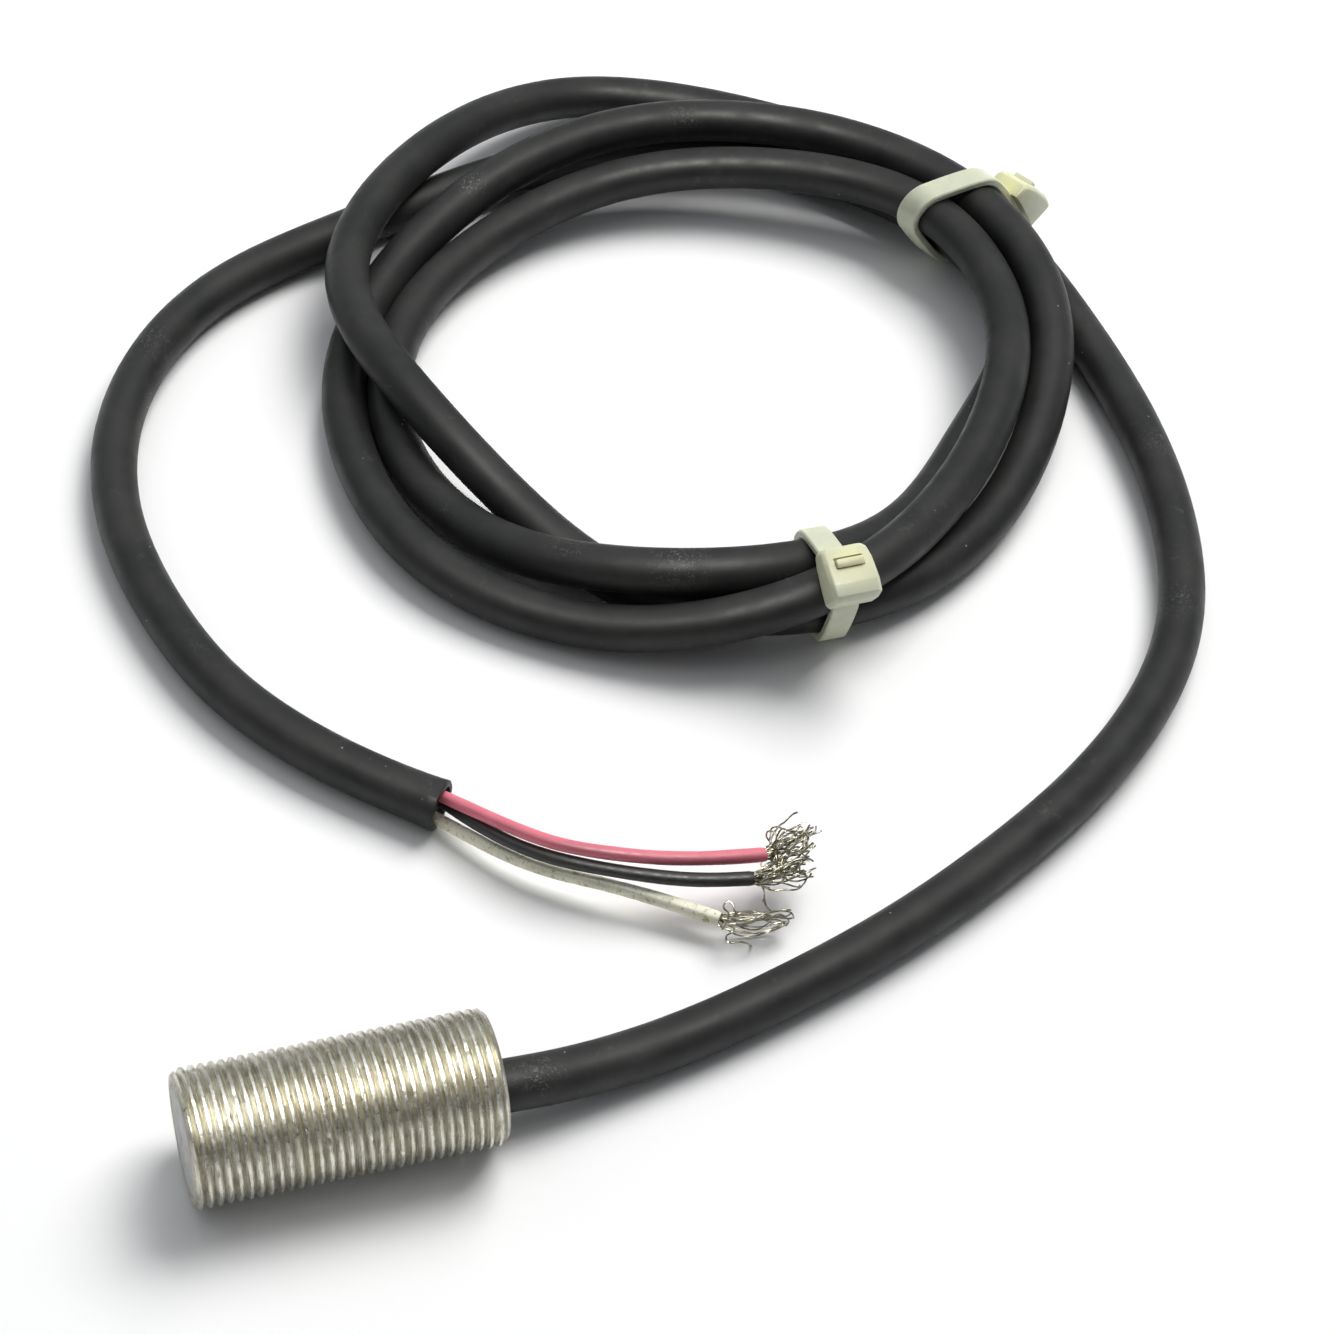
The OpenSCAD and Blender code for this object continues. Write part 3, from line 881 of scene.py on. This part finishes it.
def curled_strand(start, heading, goal, rng, wander, looped):
    """A springy strand: its direction wanders, and is drawn to the goal. A looped one first turns
    in a ring."""
    ring_length = RING_LENGTH * looped
    length = np.linalg.norm(goal - start) * rng.uniform(1.0, 1.2) + ring_length
    turning = np.array([rng.gauss(0, wander) for _ in range(3)])
    ring = rng.choice((-1, 1)) * unit(np.array([0.35, -0.8, 0.5])) / RING_R
    point, line = start, [start]
    for k in range(int(length / STRAND_STEP)):
        if k * STRAND_STEP < ring_length:
            heading = unit(heading + np.cross(ring, heading) * STRAND_STEP)
        else:
            turning = MEMORY * turning + wander * np.array([rng.gauss(0, 1) for _ in range(3)])
            away = goal - point
            pull = PULL * unit(away) if np.linalg.norm(away) > 0.5 else 0
            heading = unit(heading + np.cross(turning, heading) * STRAND_STEP + pull)
        point = point + heading * STRAND_STEP
        point[2] = max(point[2], STRAND_D)
        line.append(point)
    return np.array(line)


def make_frays(colour, seed):
    """Fine strands that leave the core together, and spread and curl."""
    tip, spread, count, crimp = FRAYS[colour]
    core = np.array(CORES[colour], float)
    start, tip = core[-1], np.array(tip, float)
    ahead = unit(core[-1] - core[-2])
    side = unit(np.cross(ahead, (0, 0, 1)))
    up = np.cross(side, ahead)
    rng = random.Random(seed)
    verts, faces = [], []
    for strand in range(count):
        a, r = rng.uniform(0, 2 * math.pi), CORE_D * 0.42 * math.sqrt(rng.random())
        out = side * math.cos(a) + up * math.sin(a)
        base = start + out * r - ahead * 0.3
        goal = start + (tip - start) * rng.uniform(0.85, 1.1) + out * spread * rng.uniform(0.2, 1)
        looped = colour == "white" and strand < LOOPED
        wander = STRAY if strand % 8 == 3 else crimp
        heading = unit(ahead + out * rng.uniform(0.05, 0.55))
        line = curled_strand(base, heading, goal, rng, wander, looped)
        v, f = tube_mesh(line, STRAND_D / 2, STRAND_SIDES)
        faces += [tuple(i + len(verts) for i in face) for face in f]
        verts += list(map(tuple, v))
    return make_piece("frayed_strands_" + colour, verts, faces, "tinned_strands",
                      ["strands_" + colour], sharp=60)


cores = {colour: make_core(colour) for colour in CORES}
frays = {colour: make_frays(colour, seed) for seed, colour in enumerate(FRAYS, start=11)}


# ---- Cable ties ----

STRAP_W = 3.2
STRAP_T = 1.0
STRAP_EDGE = 0.18        # chamfer along the strap's edges
STRAP_GAP = 0.06         # between the strap and the turns
STRAP_POINTS = 240
TOOTH_PITCH = 0.9
TOOTH_DEPTH = 0.18
# Along the strap, half width and height of the head's sections
HEAD_SECTIONS = [(-3.3, 2.6, 3.0), (-2.8, 2.95, 3.9), (-1.2, 3.0, 3.9), (1.4, 2.95, 3.2), (2.8, 2.8, 2.5),
                 (3.3, 2.4, 2.0)]
HEAD_SLOPE = 0.45        # chamfer along the top of the head
HEAD_EDGE = 0.16
# The slot through the head and the strap's cut end in it: distance along the strap and height above
# it, and half sizes across, along and away from it
SLOT_AT = (1.2, 3.3)
SLOT_HALF = (1.75, 0.7, 1.0)
CUT_END_AT = (1.1, 2.75)
CUT_END_HALF = (1.6, 0.5, 0.95)


def outline_of(points):
    """Convex outline of points in a plane, in order."""
    points = sorted(map(tuple, points))

    def half(sequence):
        out = []
        for p in sequence:
            while len(out) > 1 and ((out[-1][0] - out[-2][0]) * (p[1] - out[-2][1])
                                    - (out[-1][1] - out[-2][1]) * (p[0] - out[-2][0])) <= 0:
                out.pop()
            out.append(p)
        return out[:-1]

    return np.array(half(points) + half(points[::-1]))


def bundle_outline(tie, clearance):
    """Outline round the turns that pass a tie, as radius and height."""
    distance = tie_distance(cable_path, tie)
    points = []
    for i in np.nonzero((distance[:-1] <= 0) & (distance[1:] > 0) & (distance[1:] < TIE_REACH))[0]:
        share = -distance[i] / (distance[i + 1] - distance[i])
        x, y, z = cable_path[i] + (cable_path[i + 1] - cable_path[i]) * share
        r = math.hypot(x - COIL_CENTRE[0], y - COIL_CENTRE[1])
        size = CABLE_R + clearance
        points += [(r + size * math.cos(t), z + size * math.sin(t))
                   for t in np.linspace(0, 2 * math.pi, 73)[:-1]]
    return outline_of(points)


def closed_evenly(loop, count):
    """The same closed outline with its points an even step apart."""
    ring = np.vstack([loop, loop[:1]])
    s = along(ring)
    at = np.linspace(0, s[-1], count + 1)[:-1]
    return np.stack([np.interp(at, s, ring[:, k]) for k in range(loop.shape[1])], axis=1)


def rounded(loop, middle, springy):
    """The outline eased towards a round one, but never inside itself. springy is how many times."""
    reach = np.linalg.norm(loop - middle, axis=1, keepdims=True)
    eased = reach
    for _ in range(springy):
        eased = (np.roll(eased, 1, axis=0) + 2 * eased + np.roll(eased, -1, axis=0)) / 4
    wide = np.maximum(reach, eased)
    for _ in range(12):
        wide = (np.roll(wide, 1, axis=0) + 2 * wide + np.roll(wide, -1, axis=0)) / 4
    loop = middle + (loop - middle) / reach * np.maximum(wide, reach)
    loop[:, 1] = np.maximum(loop[:, 1], STRAP_T / 2 + 0.03)
    return loop


def strap_frames(loop, middle, tie, skew):
    """Points of the strap's middle line, and its directions across, ahead and away from the turns."""
    a = math.radians(tie)
    out, onward = np.array([math.cos(a), math.sin(a), 0]), np.array([-math.sin(a), math.cos(a), 0])
    half = (loop[:, 0].max() - loop[:, 0].min()) / 2
    side_shift = -skew * (loop[:, 0] - middle[0]) / half
    centre = np.array([*COIL_CENTRE, 0])
    line = centre + loop[:, :1] * out + side_shift[:, None] * onward
    line[:, 2] = loop[:, 1]
    ahead = unit(np.roll(line, -1, axis=0) - np.roll(line, 1, axis=0))
    flat = np.roll(loop, -1, axis=0) - np.roll(loop, 1, axis=0)
    away = unit(flat[:, 1:] * out - flat[:, :1] * np.array([0, 0, 1]))
    away = unit(away - ahead * (away * ahead).sum(axis=1, keepdims=True))
    return line, np.cross(ahead, away), ahead, away


def strap_mesh(line, across, away):
    """The strap as a closed band, toothed in the middle of its inner face."""
    w, t, r = STRAP_W / 2, STRAP_T / 2, STRAP_EDGE
    # Across the strap, away from the turns, and 1 where it is toothed
    section = [(-w + r, -t, 0), (-w * 0.55, -t, 0), (-w * 0.5, -t, 1), (w * 0.5, -t, 1), (w * 0.55, -t, 0),
               (w - r, -t, 0), (w, -t + r, 0), (w, t - r, 0), (w - r, t, 0), (0, t, 0),
               (-w + r, t, 0), (-w, t - r, 0), (-w, -t + r, 0)]
    s = np.linspace(0, 1, len(line), endpoint=False) * along(np.vstack([line, line[:1]]))[-1]
    tooth = TOOTH_DEPTH * ((s / TOOTH_PITCH) % 1)
    verts = []
    for i in range(len(line)):
        for u, v, toothed in section:
            verts.append(tuple(line[i] + across[i] * u + away[i] * (v + toothed * tooth[i])))
    return verts, grid_faces(len(line), len(section)) + closing_faces(len(line), len(section))


def head_mesh(base, x_axis, y_axis, z_axis):
    """The head, lofted along the strap from section to section."""
    head = bmesh.new()
    rows = []
    for length, width, height in HEAD_SECTIONS:
        side, top = width - HEAD_SLOPE, height - HEAD_SLOPE
        rows.append([head.verts.new(base + x_axis * u + y_axis * length + z_axis * v)
                     for u, v in ((-width, 0), (-width, top), (-side, height),
                                  (side, height), (width, top), (width, 0))])
    for one, two in zip(rows, rows[1:]):
        for k in range(len(one)):
            n = (k + 1) % len(one)
            head.faces.new((one[k], one[n], two[n], two[k]))
    head.faces.new(rows[0][::-1])
    head.faces.new(rows[-1])
    bmesh.ops.bevel(head, geom=head.edges[:], offset=HEAD_EDGE, segments=2, profile=0.6,
                    affect="EDGES")
    return points_and_faces(head)


def make_tie(name, node, tie, skew, head_angle, springy):
    """A closed tie. skew moves its outer side along the cable, and head_angle places the head on
    the outline, in degrees above the outward direction."""
    loop = closed_evenly(bundle_outline(tie, STRAP_GAP + STRAP_T / 2), STRAP_POINTS)
    middle = (loop.min(axis=0) + loop.max(axis=0)) / 2
    loop = rounded(loop, middle, springy)
    line, across, ahead, away = strap_frames(loop, middle, tie, skew)
    verts, faces = strap_mesh(line, across, away)
    angles = np.degrees(np.arctan2(loop[:, 1] - middle[1], loop[:, 0] - middle[0]))
    at = int(np.argmin(abs((angles - head_angle + 180) % 360 - 180)))
    axes = across[at], ahead[at], away[at]
    base = line[at] + away[at] * (STRAP_T / 2 - 0.15)
    head_verts, head_faces = head_mesh(base, *axes)
    faces += [tuple(len(verts) + i for i in face) for face in head_faces]
    verts += head_verts
    piece = make_piece(name, verts, faces, "nylon_natural", [node], sharp=40)
    carve(piece, cutter(base, SLOT_AT, axes, SLOT_HALF))
    stub = cutter(base, CUT_END_AT, axes, CUT_END_HALF)
    stub_verts = [tuple(v.co / MM) for v in stub.data.vertices]
    stub_faces = [tuple(p.vertices) for p in stub.data.polygons]
    bpy.data.objects.remove(stub)
    return piece, make_piece(name + "_cut_end", stub_verts, stub_faces, "nylon_natural")


def cutter(base, at, axes, half):
    """A block with eased edges at a distance along and above the base, as an object that isn't kept."""
    x_axis, y_axis, z_axis = axes
    centre = base + z_axis * at[1] + y_axis * at[0]
    block = bmesh.new()
    bmesh.ops.create_cube(block, size=2)
    bmesh.ops.bevel(block, geom=block.edges[:], offset=0.12, segments=2, profile=0.5, affect="EDGES")
    for v in block.verts:
        v.co = Vector((centre + x_axis * v.co.x * half[0] + y_axis * v.co.y * half[1]
                       + z_axis * v.co.z * half[2]) * MM)
    bmesh.ops.recalc_face_normals(block, faces=block.faces[:])
    mesh = bpy.data.meshes.new("cutter")
    block.to_mesh(mesh)
    block.free()
    return placed("cutter", mesh)


def carve(piece, tool):
    """Cuts the tool out of the piece, and removes the tool."""
    cut = piece.modifiers.new("cut", "BOOLEAN")
    cut.object = tool
    cut.operation = "DIFFERENCE"
    cut.solver = "EXACT"
    cut.use_self = True
    depsgraph = bpy.context.evaluated_depsgraph_get()
    mesh = bpy.data.meshes.new_from_object(piece.evaluated_get(depsgraph))
    piece.modifiers.clear()
    piece.data = mesh
    mesh.shade_smooth()
    mesh.set_sharp_from_angle(angle=math.radians(40))
    bpy.data.objects.remove(tool)


top_tie = make_tie("cable_tie_top", "tie_top", TOP_TIE, 2.2, -6, 70)
front_tie = make_tie("cable_tie_front", "tie_front", FRONT_TIE, 0, 50, 90)


# ---- Surface, light ----

FLOOR_HALF = 3.0         # metres
FLOOR_DROP = 0.00004     # metres, so that nothing lies in the floor's own plane


def make_floor():
    look = Look("pale surface", (0.9, 0.9, 0.905), 0.75, Specular_IOR_Level=0.2)
    tone = look.mix(look.noise(60, 3), (0.9, 0.9, 0.905), (0.885, 0.887, 0.895))
    look.link(tone, "Base Color")
    mesh = bpy.data.meshes.new("floor")
    corners = [(-1, -1), (1, -1), (1, 1), (-1, 1)]
    mesh.from_pydata([(x * FLOOR_HALF, y * FLOOR_HALF, -FLOOR_DROP) for x, y in corners], [], [(0, 1, 2, 3)])
    mesh.materials.append(look.material)
    placed("floor", mesh)


def area_light(name, at, aim, size, power, color, seen_by):
    """A soft light. seen_by is "diffuse" where it only shades, and "glossy" where it only shines."""
    data = bpy.data.lights.new(name, "AREA")
    data.shape = "RECTANGLE"
    data.size, data.size_y = size
    data.energy = power
    data.color = color
    light = placed(name, data)
    light.location = at
    light.rotation_euler = (Vector(aim) - Vector(at)).to_track_quat("-Z", "Y").to_euler()
    light.visible_diffuse = seen_by == "diffuse"
    light.visible_glossy = seen_by == "glossy"


def make_world():
    """A pale ceiling over darker walls; the side behind the camera is the darkest."""
    world = bpy.data.worlds.new("studio")
    world.use_nodes = True
    tree = world.node_tree
    place = tree.nodes.new("ShaderNodeTexCoord")
    split = tree.nodes.new("ShaderNodeSeparateXYZ")
    tree.links.new(place.outputs["Generated"], split.inputs[0])

    def ranged(value, low, high, to_low, to_high):
        node = tree.nodes.new("ShaderNodeMapRange")
        node.interpolation_type = "SMOOTHSTEP"
        tree.links.new(value, node.inputs[0])
        for k, v in enumerate((low, high, to_low, to_high), start=1):
            node.inputs[k].default_value = v
        return node.outputs[0]

    wall = ranged(split.outputs[1], -0.8, 0.8, WALL_BEHIND, WALL_AHEAD)
    ceiling = ranged(split.outputs[2], 0.3, 0.95, 0, 1)
    mix = tree.nodes.new("ShaderNodeMix")
    tree.links.new(ceiling, mix.inputs[0])
    tree.links.new(wall, mix.inputs[2])
    tree.links.new(ranged(split.outputs[1], -0.7, 0.6, *CEILING), mix.inputs[3])
    background = tree.nodes["Background"]
    tree.links.new(mix.outputs[0], background.inputs["Strength"])
    background.inputs["Color"].default_value = (0.94, 0.97, 1, 1)
    bpy.context.scene.world = world


# Brightness of the surroundings
WALL_BEHIND = 0.1
WALL_AHEAD = 0.42
CEILING = (0.2, 0.82)    # behind the camera, and ahead of it

make_floor()
area_light("key", at=(0.75, 0.6, 1.25), aim=(0.05, 0.07, 0), size=(1.0, 0.85), power=25,
           color=(1, 0.985, 0.96), seen_by="diffuse")
area_light("strip", at=(0.02, -0.12, 0.85), aim=(0, 0, 0), size=(0.5, 0.15), power=11.5,
           color=(1, 0.985, 0.93), seen_by="glossy")
make_world()
bpy.context.scene.view_settings.view_transform = "Standard"
